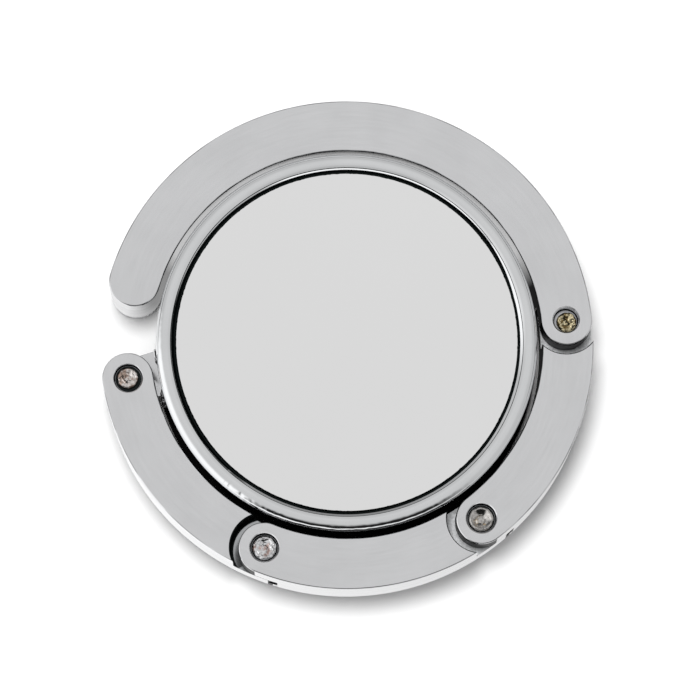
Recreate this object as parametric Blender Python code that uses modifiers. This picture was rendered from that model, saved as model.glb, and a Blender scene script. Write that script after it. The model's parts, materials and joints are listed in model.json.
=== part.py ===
"""Folding purse hook with a mirror: a flat disc that lies on a table, and a ring of links round it.

The links are joined by rivets and unfold into a hook. The first link hangs on a knuckle that turns in the
disc's side. The disc's axis is Z, the origin is the middle of the rubber pad's underside.
"""

import math

import bmesh
import bpy
from mathutils import Matrix, Vector

MM = 0.001

# ring of links
RING_OUTER_RADIUS = 22.4 * MM
RING_WIDTH = 4.65 * MM
RING_HEIGHT = 6.4 * MM
RING_LIFT = 0.9 * MM  # the ring's underside above the table
FIRST_PIVOT_ANGLE = math.radians(189.0)
PIVOT_PITCH = math.radians(59.0)
TIP_ANGLE = math.radians(163.3 + 360.0)
PIVOT_INSET = 0.05 * MM  # the pivots lie a little inside the ring's middle
LAYER_GAP = 0.2 * MM  # between a tab and the tongue under it
STEP_GAP = 0.8 * MM  # from a tab's round end to the step that it turns in
LINK_EDGE = 0.15 * MM  # small chamfer along the links' edges

# rivets and their washers
SHANK_RADIUS = 0.65 * MM
SHANK_GAP = 0.1 * MM
COUNTERBORE_RADIUS = 1.3 * MM
LAST_COUNTERBORE_RADIUS = 1.15 * MM
COUNTERBORE_DEPTH = 0.95 * MM
LAST_COUNTERBORE_DEPTH = 1.35 * MM
HEAD_SIDE_GAP = 0.25 * MM
HEAD_HEIGHT = 0.45 * MM
HEAD_DOME = 0.12 * MM
WASHER_THICKNESS = 0.2 * MM
WASHER_SIDE_GAP = 0.1 * MM
WASHER_BORE_GAP = 0.1 * MM
FOOT_RADIUS = 1.1 * MM
FOOT_HEIGHT = 0.45 * MM
FOOT_SIDE_GAP = 0.15 * MM
STACK_GAP = 0.05 * MM  # between a rivet head, its washer and the floor they lie on

# disc: drum, bezel and mirror
BEZEL_GAP = 0.5 * MM  # from the ring's inner side to the bezel's widest edge
BEZEL_OVERHANG = 0.65 * MM  # from the drum's side to the bezel's widest edge
BEZEL_LIFT = 0.1 * MM  # the bezel's underside above the ring's top
BEZEL_SKIRT = 0.35 * MM  # from the bezel's underside up to its widest edge
BEZEL_TUCK = 0.15 * MM
BEZEL_CROWN_HEIGHT = 0.9 * MM
BEZEL_CROWN_WIDTH = 1.05 * MM
BEZEL_LIP_DROP = 0.15 * MM  # the lip's upper edge below the crown
BEZEL_LIP_GAP = 0.35 * MM  # the dark gap round the mirror
COLLAR_SHELF = 0.45 * MM  # the ledge that the bezel stands on
COLLAR_WALL = 0.65 * MM
COLLAR_DROP = 0.35 * MM  # the collar's top below the mirror's face
PRESS_GAP = 0.1 * MM
DRUM_WALL = 1.8 * MM
DRUM_LIFT = 0.5 * MM  # the drum's rim above the table
DRUM_CHAMFER = 0.3 * MM
ROOF_THICKNESS = 0.8 * MM
ROOF_DROP = 0.25 * MM  # the mirror's floor below the ring's top
POST_RADIUS = 2.5 * MM
GLASS_THICKNESS = 0.9 * MM
GLASS_EDGE = 0.12 * MM
TAPE_THICKNESS = 0.25 * MM
TAPE_INSET = 0.8 * MM
BOND_GAP = 0.05 * MM

# underside: rubber pad, its tape and the plate
PAD_THICKNESS = 1.0 * MM
PAD_EDGE = 0.25 * MM
PAD_SIDE_GAP = 0.5 * MM
PAD_TAPE_THICKNESS = 0.15 * MM
PAD_TAPE_INSET = 0.6 * MM
PLATE_THICKNESS = 0.5 * MM
PLATE_SIDE_GAP = 0.1 * MM
PLATE_LEDGE = 0.9 * MM

# swivel: knuckle, washer and clip
FLANGE_THICKNESS = 0.5 * MM
FLANGE_STEP = 0.5 * MM  # the flange's edge inside the ring's height
FLANGE_GAP = 0.3 * MM  # from the drum's side to the flange
NECK_TIP_INSET = 0.125 * MM  # the neck's side inside the lug's round end, towards the hook's tip
NECK_LINK_INSET = 0.725 * MM  # and towards the first link
STUD_RADIUS = 0.9 * MM
STUD_GAP = 0.1 * MM
STUD_TAIL = 0.55 * MM
STUD_CHAMFER = 0.2 * MM
BOSS_LENGTH = 2.0 * MM
BOSS_WIDTH = 5.0 * MM
SWIVEL_WASHER_RADIUS = 1.55 * MM
SWIVEL_WASHER_THICKNESS = 0.3 * MM
SWIVEL_STACK_GAP = 0.1 * MM
CLIP_THICKNESS = 0.35 * MM
CLIP_RADIUS = 1.45 * MM
CLIP_GROOVE_DEPTH = 0.25 * MM
CLIP_GROOVE_GAP = 0.08 * MM
CLIP_MOUTH = math.radians(80.0)

OVERRUN = 1.0 * MM  # how far a cutter passes the face that it cuts
WELD = 0.001 * MM

# facets
RING_STEP = math.radians(5.0)
CAP_STEPS = 10
FLAT_ANGLE = math.radians(1.0)  # faces nearer to flat than this are joined
EDGE_ANGLE = math.radians(40.0)  # edges sharper than this get the chamfer
DISC_STEPS = 60
CUT_STEPS = 32
PIN_STEPS = 18
CROWN_STEPS = 6
DOME_STEPS = 3

# derived places
RING_INNER_RADIUS = RING_OUTER_RADIUS - RING_WIDTH
PIVOT_RADIUS = RING_OUTER_RADIUS - RING_WIDTH / 2 - PIVOT_INSET
RING_TOP = RING_LIFT + RING_HEIGHT
RING_MIDDLE = RING_LIFT + RING_HEIGHT / 2
TAB_RADIUS = RING_WIDTH / 2
STEP_RADIUS = TAB_RADIUS + STEP_GAP
TONGUE_TOP = RING_MIDDLE - LAYER_GAP / 2
TAB_BOTTOM = RING_MIDDLE + LAYER_GAP / 2
PIVOT_ANGLES = [FIRST_PIVOT_ANGLE + PIVOT_PITCH * turn for turn in range(4)]
BORE_RADIUS = SHANK_RADIUS + SHANK_GAP

BEZEL_RADIUS = RING_INNER_RADIUS - BEZEL_GAP
DRUM_RADIUS = BEZEL_RADIUS - BEZEL_OVERHANG
DRUM_INNER_RADIUS = DRUM_RADIUS - DRUM_WALL
BEZEL_BOTTOM = RING_TOP + BEZEL_LIFT
SHOULDER = BEZEL_BOTTOM - PRESS_GAP
BEZEL_EDGE_HEIGHT = BEZEL_BOTTOM + BEZEL_SKIRT
CROWN_TOP = BEZEL_EDGE_HEIGHT + BEZEL_CROWN_HEIGHT
CROWN_RADIUS = BEZEL_RADIUS - BEZEL_CROWN_WIDTH
MIRROR_FLOOR = RING_TOP - ROOF_DROP
TAPE_BOTTOM = MIRROR_FLOOR + BOND_GAP
GLASS_BOTTOM = TAPE_BOTTOM + TAPE_THICKNESS + BOND_GAP
GLASS_TOP = GLASS_BOTTOM + GLASS_THICKNESS
COLLAR_TOP = GLASS_TOP - COLLAR_DROP
COLLAR_OUTER_RADIUS = DRUM_RADIUS - COLLAR_SHELF
COLLAR_INNER_RADIUS = COLLAR_OUTER_RADIUS - COLLAR_WALL
GLASS_RADIUS = COLLAR_INNER_RADIUS - PRESS_GAP
BEZEL_LIP_RADIUS = GLASS_RADIUS + BEZEL_LIP_GAP
BEZEL_BORE_RADIUS = COLLAR_OUTER_RADIUS + PRESS_GAP
BEZEL_LEDGE = COLLAR_TOP + PRESS_GAP
ROOF_BOTTOM = MIRROR_FLOOR - ROOF_THICKNESS

PAD_TAPE_BOTTOM = PAD_THICKNESS + BOND_GAP
PLATE_BOTTOM = PAD_TAPE_BOTTOM + PAD_TAPE_THICKNESS + BOND_GAP
PLATE_TOP = PLATE_BOTTOM + PLATE_THICKNESS
LEDGE_HEIGHT = PLATE_TOP + PRESS_GAP
REBATE_RADIUS = DRUM_INNER_RADIUS + PLATE_LEDGE
PLATE_RADIUS = REBATE_RADIUS - PLATE_SIDE_GAP
PAD_RADIUS = REBATE_RADIUS - PAD_SIDE_GAP

FLANGE_IN = DRUM_RADIUS + FLANGE_GAP
FLANGE_OUT = FLANGE_IN + FLANGE_THICKNESS
FLANGE_RADIUS = RING_HEIGHT / 2 - FLANGE_STEP
NECK_TIP_SIDE = TAB_RADIUS - NECK_TIP_INSET
NECK_LINK_SIDE = TAB_RADIUS - NECK_LINK_INSET
BOSS_FACE = DRUM_INNER_RADIUS - BOSS_LENGTH
WASHER_OUT = BOSS_FACE - SWIVEL_STACK_GAP
WASHER_IN = WASHER_OUT - SWIVEL_WASHER_THICKNESS
CLIP_OUT = WASHER_IN - SWIVEL_STACK_GAP
CLIP_IN = CLIP_OUT - CLIP_THICKNESS
STUD_END = CLIP_IN - STUD_TAIL
GROOVE_RADIUS = STUD_RADIUS - CLIP_GROOVE_DEPTH


def polar(radius, angle, height=0.0):
    return Vector((radius * math.cos(angle), radius * math.sin(angle), height))


def arc(center, radius, start, end, steps):
    """Points along an arc, without its first point."""
    turns = [start + (end - start) * step / steps for step in range(1, steps + 1)]
    return [center + polar(radius, turn) for turn in turns]


def ring_outline(start, end):
    """A stretch of the ring with a round end about each of its two end centres.

    The ends lie a little inside the ring's middle, so each meets the outer and inner side by a tangent.
    """
    steps = max(2, math.ceil((end - start) / RING_STEP))
    middle = Vector((0.0, 0.0, 0.0))
    outer = math.acos((PIVOT_RADIUS + TAB_RADIUS) / RING_OUTER_RADIUS)
    inner = math.acos((PIVOT_RADIUS - TAB_RADIUS) / RING_INNER_RADIUS)
    points = [polar(RING_OUTER_RADIUS, start + outer)]
    points += arc(middle, RING_OUTER_RADIUS, start + outer, end - outer, steps)
    points.append(polar(PIVOT_RADIUS + TAB_RADIUS, end))
    points += arc(polar(PIVOT_RADIUS, end), TAB_RADIUS, end, end + math.pi, CAP_STEPS)
    points.append(polar(RING_INNER_RADIUS, end - inner))
    points += arc(middle, RING_INNER_RADIUS, end - inner, start + inner, steps)
    points.append(polar(PIVOT_RADIUS - TAB_RADIUS, start))
    points += arc(polar(PIVOT_RADIUS, start), TAB_RADIUS, start + math.pi, start + math.tau, CAP_STEPS)
    return points


def make_collection(name):
    collection = bpy.data.collections.new(name)
    bpy.context.scene.collection.children.link(collection)
    return collection


def make_material(name, color, roughness, metallic):
    material = bpy.data.materials.new(name)
    material.use_nodes = True
    shader = material.node_tree.nodes["Principled BSDF"]
    shader.inputs["Base Color"].default_value = (*color, 1.0)
    shader.inputs["Roughness"].default_value = roughness
    shader.inputs["Metallic"].default_value = metallic
    material.diffuse_color = (*color, 1.0)
    return material


def add_object(name, mesh, collection, origin=None):
    """Puts a mesh that is drawn in world places into an object whose origin is at the given point."""
    obj = bpy.data.objects.new(name, mesh)
    if origin is not None:
        mesh.transform(Matrix.Translation(-origin))
        obj.location = origin
    collection.objects.link(obj)
    return obj


def plate(name, points, bottom, top, collection, origin=None):
    """A flat outline with a thickness."""
    curve = bpy.data.curves.new(name, "CURVE")
    curve.dimensions = "2D"
    curve.fill_mode = "BOTH"
    curve.extrude = (top - bottom) / 2
    spline = curve.splines.new("POLY")
    spline.points.add(len(points) - 1)
    for spot, point in zip(spline.points, points):
        spot.co = (point.x, point.y, 0.0, 1.0)
    spline.use_cyclic_u = True
    drawn = bpy.data.objects.new(name, curve)
    drawn.location.z = (top + bottom) / 2
    bpy.context.scene.collection.objects.link(drawn)
    bpy.context.view_layer.update()
    mesh = bpy.data.meshes.new_from_object(drawn.evaluated_get(bpy.context.evaluated_depsgraph_get()))
    mesh.transform(drawn.matrix_world)
    bpy.data.objects.remove(drawn)
    bpy.data.curves.remove(curve)
    shape = bmesh.new()
    shape.from_mesh(mesh)
    bmesh.ops.remove_doubles(shape, verts=shape.verts, dist=WELD)
    bmesh.ops.dissolve_limit(shape, angle_limit=FLAT_ANGLE, verts=shape.verts, edges=shape.edges)
    bmesh.ops.recalc_face_normals(shape, faces=shape.faces)
    shape.to_mesh(mesh)
    shape.free()
    return add_object(name, mesh, collection, origin)


def turned(name, profile, steps, collection, origin=None, closed=False):
    """A profile of (radius, height) points turned about Z; it runs down its outer side."""
    mesh = bpy.data.meshes.new(name)
    points = [(radius, 0.0, height) for radius, height in profile]
    edges = [(spot, spot + 1) for spot in range(len(points) - 1)]
    if closed:
        edges.append((len(points) - 1, 0))
    mesh.from_pydata(points, edges, [])
    obj = bpy.data.objects.new(name, mesh)
    if origin is not None:
        obj.location = origin
    collection.objects.link(obj)
    screw = obj.modifiers.new("turn", "SCREW")
    screw.steps = steps
    screw.render_steps = steps
    screw.use_merge_vertices = True
    screw.merge_threshold = WELD
    screw.use_smooth_shade = False
    return obj


def combine(obj, tool, operation):
    modifier = obj.modifiers.new(tool.name, "BOOLEAN")
    modifier.operation = operation
    modifier.object = tool
    tool.hide_render = True
    tool.display_type = "WIRE"


def bevel_edges(obj, width):
    modifier = obj.modifiers.new("edges", "BEVEL")
    modifier.width = width
    modifier.segments = 1
    modifier.limit_method = "ANGLE"
    modifier.angle_limit = EDGE_ANGLE


def attach(child, parent):
    """Parents an object without moving it."""
    bpy.context.view_layer.update()
    child.parent = parent
    child.matrix_parent_inverse = parent.matrix_world.inverted()


def finish(obj, material):
    obj.data.materials.clear()
    obj.data.materials.append(material)
    return obj


def radial_frame(angle):
    """The turn that lays local Z along the radius at an angle, local X upwards."""
    outward = polar(1.0, angle)
    upward = Vector((0.0, 0.0, 1.0))
    return Matrix((upward, outward.cross(upward), outward)).transposed().to_4x4()


def tab_cutter(name, center, counterbore, depth, collection):
    """Frees a tab: room for the tongue below it, the rivet's bore and the counterbore above."""
    top = RING_TOP + OVERRUN
    floor = RING_TOP - depth
    profile = [
        (0.0, top),
        (counterbore, top),
        (counterbore, floor),
        (BORE_RADIUS, floor),
        (BORE_RADIUS, TAB_BOTTOM),
        (STEP_RADIUS, TAB_BOTTOM),
        (STEP_RADIUS, RING_LIFT - OVERRUN),
        (0.0, RING_LIFT - OVERRUN),
    ]
    return turned(name, profile, CUT_STEPS, collection, center)


def tongue_cutter(name, center, collection):
    """Frees a tongue: room for the tab above it, the rivet's bore and the seat of its foot below."""
    top = RING_TOP + OVERRUN
    seat = RING_LIFT + FOOT_HEIGHT + STACK_GAP * 2
    profile = [
        (0.0, top),
        (STEP_RADIUS, top),
        (STEP_RADIUS, TONGUE_TOP),
        (BORE_RADIUS, TONGUE_TOP),
        (BORE_RADIUS, seat),
        (FOOT_RADIUS + FOOT_SIDE_GAP, seat),
        (FOOT_RADIUS + FOOT_SIDE_GAP, RING_LIFT - OVERRUN),
        (0.0, RING_LIFT - OVERRUN),
    ]
    return turned(name, profile, CUT_STEPS, collection, center)


def make_link(name, start, end, counterbore, depth, last, parts, cutters):
    """A link of the ring: an upper tab at its start and, unless it is the last, a lower tongue."""
    pivot = polar(PIVOT_RADIUS, start)
    link = plate(name, ring_outline(start, end), RING_LIFT, RING_TOP, parts, pivot)
    bevel_edges(link, LINK_EDGE)
    combine(link, tab_cutter(name + "_tab_cutter", pivot, counterbore, depth, cutters), "DIFFERENCE")
    if not last:
        far = polar(PIVOT_RADIUS, end)
        combine(link, tongue_cutter(name + "_tongue_cutter", far, cutters), "DIFFERENCE")
    return link


def make_pin(name, center, counterbore, depth, parts):
    """A rivet with a foot below the tongue and a low round head in the tab's counterbore."""
    head = counterbore - HEAD_SIDE_GAP
    seat = RING_TOP - depth + STACK_GAP + WASHER_THICKNESS + STACK_GAP
    foot = RING_LIFT + STACK_GAP
    rim = seat + HEAD_HEIGHT - HEAD_DOME
    angles = [math.pi / 2 * (1 - step / DOME_STEPS) for step in range(DOME_STEPS + 1)]
    profile = [(head * math.cos(turn), rim + HEAD_DOME * math.sin(turn)) for turn in angles]
    profile[0] = (0.0, rim + HEAD_DOME)
    profile += [
        (head, seat),
        (SHANK_RADIUS, seat),
        (SHANK_RADIUS, foot + FOOT_HEIGHT),
        (FOOT_RADIUS, foot + FOOT_HEIGHT),
        (FOOT_RADIUS, foot),
        (0.0, foot),
    ]
    return turned(name, profile, PIN_STEPS, parts, center)


def make_pivot_washer(name, center, counterbore, depth, parts):
    outer = counterbore - WASHER_SIDE_GAP
    inner = SHANK_RADIUS + WASHER_BORE_GAP
    bottom = RING_TOP - depth + STACK_GAP
    top = bottom + WASHER_THICKNESS
    profile = [(outer, top), (outer, bottom), (inner, bottom), (inner, top)]
    return turned(name, profile, PIN_STEPS, parts, center, closed=True)


def make_drum(parts, cutters):
    profile = [
        (0.0, MIRROR_FLOOR),
        (COLLAR_INNER_RADIUS, MIRROR_FLOOR),
        (COLLAR_INNER_RADIUS, COLLAR_TOP),
        (COLLAR_OUTER_RADIUS, COLLAR_TOP),
        (COLLAR_OUTER_RADIUS, SHOULDER),
        (DRUM_RADIUS, SHOULDER),
        (DRUM_RADIUS, DRUM_LIFT + DRUM_CHAMFER),
        (DRUM_RADIUS - DRUM_CHAMFER, DRUM_LIFT),
        (REBATE_RADIUS, DRUM_LIFT),
        (REBATE_RADIUS, LEDGE_HEIGHT),
        (DRUM_INNER_RADIUS, LEDGE_HEIGHT),
        (DRUM_INNER_RADIUS, ROOF_BOTTOM),
        (POST_RADIUS, ROOF_BOTTOM),
        (POST_RADIUS, LEDGE_HEIGHT),
        (0.0, LEDGE_HEIGHT),
    ]
    drum = turned("disc_body", profile, DISC_STEPS, parts)
    top = ROOF_BOTTOM + ROOF_THICKNESS / 2
    outer = DRUM_INNER_RADIUS + DRUM_WALL / 2
    bpy.ops.mesh.primitive_cube_add(size=1.0)
    boss = bpy.context.active_object
    boss.name = "stud_boss"
    boss.data.transform(Matrix.Diagonal((outer - BOSS_FACE, BOSS_WIDTH, top - LEDGE_HEIGHT, 1.0)))
    boss.rotation_euler.z = FIRST_PIVOT_ANGLE
    boss.location = polar((outer + BOSS_FACE) / 2, FIRST_PIVOT_ANGLE, (top + LEDGE_HEIGHT) / 2)
    move_to(boss, cutters)
    combine(drum, boss, "UNION")
    length = DRUM_RADIUS - BOSS_FACE + OVERRUN * 2
    middle = polar((DRUM_RADIUS + BOSS_FACE) / 2, FIRST_PIVOT_ANGLE, RING_MIDDLE)
    bpy.ops.mesh.primitive_cylinder_add(vertices=CUT_STEPS, radius=STUD_RADIUS + STUD_GAP, depth=length)
    bore = bpy.context.active_object
    bore.name = "stud_bore"
    bore.matrix_world = Matrix.Translation(middle) @ radial_frame(FIRST_PIVOT_ANGLE)
    move_to(bore, cutters)
    combine(drum, bore, "DIFFERENCE")
    return drum


def move_to(obj, collection):
    for owner in list(obj.users_collection):
        owner.objects.unlink(obj)
    collection.objects.link(obj)


def make_bezel(parts):
    """A rounded ring pressed on the drum's collar, from its inner lip over the crown to its skirt."""
    angles = [math.pi / 2 * (1 - step / CROWN_STEPS) for step in range(CROWN_STEPS + 1)]
    crown = [
        (
            CROWN_RADIUS + BEZEL_CROWN_WIDTH * math.cos(turn),
            BEZEL_EDGE_HEIGHT + BEZEL_CROWN_HEIGHT * math.sin(turn),
        )
        for turn in angles
    ]
    lip = [(BEZEL_LIP_RADIUS, BEZEL_LEDGE), (BEZEL_LIP_RADIUS, CROWN_TOP - BEZEL_LIP_DROP)]
    under = [
        (BEZEL_RADIUS - BEZEL_TUCK, BEZEL_BOTTOM),
        (BEZEL_BORE_RADIUS, BEZEL_BOTTOM),
        (BEZEL_BORE_RADIUS, BEZEL_LEDGE),
    ]
    return turned("bezel_ring", lip + crown + under, DISC_STEPS, parts, closed=True)


def make_round(name, radius, bottom, top, edge, parts):
    """A flat round piece with small chamfers."""
    profile = [(0.0, top), (radius - edge, top), (radius, top - edge)]
    profile += [(radius, bottom + edge), (radius - edge, bottom), (0.0, bottom)]
    return turned(name, profile, DISC_STEPS, parts)


def make_knuckle(parts, cutters):
    """The lug of the first pivot: a tongue under the first link's tab, a round flange and a stud."""
    pivot = polar(PIVOT_RADIUS, FIRST_PIVOT_ANGLE)
    outward = polar(1.0, FIRST_PIVOT_ANGLE)
    along = Vector((-outward.y, outward.x, 0.0))
    root = outward * (FLANGE_IN + FLANGE_THICKNESS / 2)
    start = FIRST_PIVOT_ANGLE - math.pi + math.asin(NECK_TIP_SIDE / TAB_RADIUS)
    end = FIRST_PIVOT_ANGLE + math.pi - math.asin(NECK_LINK_SIDE / TAB_RADIUS)
    points = [root - along * NECK_TIP_SIDE, pivot + polar(TAB_RADIUS, start)]
    points += arc(pivot, TAB_RADIUS, start, end, CAP_STEPS + CAP_STEPS // 2)
    points.append(root + along * NECK_LINK_SIDE)
    origin = pivot + Vector((0.0, 0.0, RING_MIDDLE))
    knuckle = plate("swivel_knuckle", points, RING_LIFT, TONGUE_TOP, parts, origin)
    stud_profile = [
        (0.0, FLANGE_OUT),
        (FLANGE_RADIUS, FLANGE_OUT),
        (FLANGE_RADIUS, FLANGE_IN),
        (STUD_RADIUS, FLANGE_IN),
        (STUD_RADIUS, CLIP_OUT + CLIP_GROOVE_GAP),
        (GROOVE_RADIUS, CLIP_OUT + CLIP_GROOVE_GAP),
        (GROOVE_RADIUS, CLIP_IN - CLIP_GROOVE_GAP),
        (STUD_RADIUS, CLIP_IN - CLIP_GROOVE_GAP),
        (STUD_RADIUS, STUD_END + STUD_CHAMFER),
        (STUD_RADIUS - STUD_CHAMFER, STUD_END),
        (0.0, STUD_END),
    ]
    stud = turned("knuckle_stud", stud_profile, CUT_STEPS, cutters)
    middle = Vector((0.0, 0.0, RING_MIDDLE))
    stud.matrix_world = Matrix.Translation(middle) @ radial_frame(FIRST_PIVOT_ANGLE)
    combine(knuckle, stud, "UNION")
    combine(knuckle, tongue_cutter("knuckle_tongue_cutter", pivot, cutters), "DIFFERENCE")
    return knuckle


def make_swivel_washer(parts):
    inner = STUD_RADIUS + STUD_GAP
    profile = [
        (SWIVEL_WASHER_RADIUS, WASHER_OUT),
        (SWIVEL_WASHER_RADIUS, WASHER_IN),
        (inner, WASHER_IN),
        (inner, WASHER_OUT),
    ]
    washer = turned("swivel_washer", profile, PIN_STEPS, parts, closed=True)
    washer.matrix_world = Matrix.Translation((0.0, 0.0, RING_MIDDLE)) @ radial_frame(FIRST_PIVOT_ANGLE)
    return washer


def make_swivel_clip(parts):
    """An open ring in the stud's groove, its mouth upwards."""
    middle = Vector((0.0, 0.0, 0.0))
    start = CLIP_MOUTH / 2
    end = math.tau - CLIP_MOUTH / 2
    inner = GROOVE_RADIUS + CLIP_GROOVE_GAP
    points = [polar(CLIP_RADIUS, start)]
    points += arc(middle, CLIP_RADIUS, start, end, PIN_STEPS)
    points.append(polar(inner, end))
    points += arc(middle, inner, end, start, PIN_STEPS)
    clip = plate("swivel_clip", points, CLIP_IN, CLIP_OUT, parts)
    clip.matrix_world = Matrix.Translation((0.0, 0.0, RING_MIDDLE)) @ radial_frame(FIRST_PIVOT_ANGLE)
    return clip


def build():
    for obj in list(bpy.data.objects):
        bpy.data.objects.remove(obj)
    parts = make_collection("purse_hook")
    cutters = make_collection("cutters")

    plating = (0.77, 0.78, 0.79)
    drum = finish(make_drum(parts, cutters), make_material("drum_zinc", plating, 0.3, 1.0))
    bezel = finish(make_bezel(parts), make_material("bezel_chrome", (0.85, 0.86, 0.87), 0.12, 1.0))
    tape_radius = GLASS_RADIUS - TAPE_INSET
    tape = make_round(
        "mirror_adhesive", tape_radius, TAPE_BOTTOM, TAPE_BOTTOM + TAPE_THICKNESS, BOND_GAP, parts
    )
    finish(tape, make_material("mirror_tape", (0.85, 0.84, 0.8), 0.7, 0.0))
    glass = make_round("mirror_glass", GLASS_RADIUS, GLASS_BOTTOM, GLASS_TOP, GLASS_EDGE, parts)
    finish(glass, make_material("mirror", (0.86, 0.86, 0.86), 0.03, 1.0))
    plate_disc = make_round("base_plate", PLATE_RADIUS, PLATE_BOTTOM, PLATE_TOP, BOND_GAP, parts)
    finish(plate_disc, make_material("plate_steel", (0.6, 0.6, 0.61), 0.4, 1.0))
    pad_tape_top = PAD_TAPE_BOTTOM + PAD_TAPE_THICKNESS
    pad_tape = make_round(
        "pad_adhesive", PAD_RADIUS - PAD_TAPE_INSET, PAD_TAPE_BOTTOM, pad_tape_top, BOND_GAP, parts
    )
    finish(pad_tape, make_material("pad_tape", (0.8, 0.8, 0.78), 0.7, 0.0))
    pad = make_round("base_pad", PAD_RADIUS, 0.0, PAD_THICKNESS, PAD_EDGE, parts)
    finish(pad, make_material("pad_rubber", (0.03, 0.03, 0.03), 0.8, 0.0))
    for piece in (bezel, tape, glass, plate_disc, pad_tape, pad):
        attach(piece, drum)

    knuckle = finish(make_knuckle(parts, cutters), make_material("knuckle_zinc", plating, 0.25, 1.0))
    washer = finish(make_swivel_washer(parts), make_material("washer_steel", (0.6, 0.6, 0.62), 0.35, 1.0))
    clip = finish(make_swivel_clip(parts), make_material("clip_steel", (0.45, 0.45, 0.47), 0.35, 1.0))
    attach(washer, knuckle)
    attach(clip, knuckle)
    attach(knuckle, drum)

    names = ["near_link", "middle_link", "far_link", "hook_arm"]
    carrier = knuckle
    for turn, name in enumerate(names):
        start = PIVOT_ANGLES[turn]
        last = turn == len(names) - 1
        end = TIP_ANGLE if last else PIVOT_ANGLES[turn + 1]
        counterbore = LAST_COUNTERBORE_RADIUS if last else COUNTERBORE_RADIUS
        depth = LAST_COUNTERBORE_DEPTH if last else COUNTERBORE_DEPTH
        link = make_link(name, start, end, counterbore, depth, last, parts, cutters)
        finish(link, make_material(name + "_plating", plating, 0.25, 1.0))
        center = polar(PIVOT_RADIUS, start)
        number = str(turn + 1)
        pin = make_pin("pivot_pin_" + number, center, counterbore, depth, parts)
        color = (0.62, 0.5, 0.3) if last else (0.5, 0.49, 0.47)
        finish(pin, make_material("rivet_" + number, color, 0.35, 1.0))
        ring = make_pivot_washer("pivot_washer_" + number, center, counterbore, depth, parts)
        finish(ring, make_material("pivot_washer_" + number, (0.65, 0.65, 0.66), 0.3, 1.0))
        attach(pin, carrier)
        attach(ring, carrier)
        attach(link, carrier)
        carrier = link


build()
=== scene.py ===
import json
import math

import bpy
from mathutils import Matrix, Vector, noise


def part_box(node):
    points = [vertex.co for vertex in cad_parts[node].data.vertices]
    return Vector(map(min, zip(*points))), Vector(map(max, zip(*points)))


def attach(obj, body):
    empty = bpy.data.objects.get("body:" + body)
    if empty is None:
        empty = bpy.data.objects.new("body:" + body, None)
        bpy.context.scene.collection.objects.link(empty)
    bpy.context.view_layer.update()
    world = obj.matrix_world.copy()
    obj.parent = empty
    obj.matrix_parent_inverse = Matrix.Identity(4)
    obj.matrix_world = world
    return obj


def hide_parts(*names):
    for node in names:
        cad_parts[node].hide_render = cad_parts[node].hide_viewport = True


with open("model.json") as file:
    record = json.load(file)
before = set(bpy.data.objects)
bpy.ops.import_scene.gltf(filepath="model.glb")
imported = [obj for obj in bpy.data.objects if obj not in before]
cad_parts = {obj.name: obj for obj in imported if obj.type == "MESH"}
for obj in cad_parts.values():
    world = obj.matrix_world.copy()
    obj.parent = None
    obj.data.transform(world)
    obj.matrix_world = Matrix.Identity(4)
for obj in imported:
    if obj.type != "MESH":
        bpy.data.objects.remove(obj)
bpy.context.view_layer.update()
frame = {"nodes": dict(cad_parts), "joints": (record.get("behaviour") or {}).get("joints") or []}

print("frame loaded")

mm = 0.001
weld = 0.0004 * mm  # points nearer than this become one
overrun = 0.6 * mm  # how far a cutter passes the face that it cuts
over = Vector((0, 0, 1))
origin = Vector((0, 0, 0))


def clearSelection():
    if bpy.context.object and bpy.context.object.mode != "OBJECT":
        bpy.ops.object.mode_set(mode="OBJECT")
    bpy.ops.object.select_all(action="DESELECT")


def makeActive(piece):
    clearSelection()
    piece.select_set(True)
    bpy.context.view_layer.objects.active = piece


def polar(radius, angle, height=0.0):
    return Vector((radius * math.cos(angle), radius * math.sin(angle), height))


def upright(spot, height):
    return Vector((spot.x, spot.y, height))


def roundedLine(corners, steps=5, closed=False):
    # each corner is (out, up, rounding), and a rounded corner becomes an arc
    line = []
    count = len(corners)
    for index, (out, up, rounding) in enumerate(corners):
        spot = Vector((out, up))
        if rounding == 0 or (not closed and index in (0, count - 1)):
            line.append(spot)
            continue
        toward = Vector(corners[index - 1][:2]) - spot
        onward = Vector(corners[(index + 1) % count][:2]) - spot
        toward.normalize()
        onward.normalize()
        opening = toward.angle(onward)
        middle = spot + (toward + onward).normalized() * rounding / math.sin(opening / 2)
        start = spot + toward * rounding / math.tan(opening / 2) - middle
        end = spot + onward * rounding / math.tan(opening / 2) - middle
        sweep = start.angle_signed(end)
        for step in range(steps + 1):
            turn = -sweep * step / steps
            along = start.x * math.cos(turn) - start.y * math.sin(turn)
            above = start.x * math.sin(turn) + start.y * math.cos(turn)
            line.append(middle + Vector((along, above)))
    return line


def drawLine(name, points, closed=False):
    # a line drawn by extruding one vertex from point to point, left in edit mode
    clearSelection()
    bpy.ops.mesh.primitive_circle_add(vertices=3, radius=mm)
    piece = bpy.context.object
    piece.name = name
    piece.data.name = name
    bpy.ops.object.mode_set(mode="EDIT")
    bpy.ops.mesh.select_mode(type="VERT")
    bpy.ops.mesh.select_all(action="SELECT")
    bpy.ops.mesh.merge(type="CENTER")
    bpy.ops.transform.translate(value=points[0])
    route = list(points) + ([points[0]] if closed else [])
    for before, after in zip(route, route[1:]):
        bpy.ops.mesh.extrude_region_move(TRANSFORM_OT_translate={"value": after - before})
    bpy.ops.mesh.select_all(action="SELECT")
    bpy.ops.mesh.remove_doubles(threshold=weld)
    return piece


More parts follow.
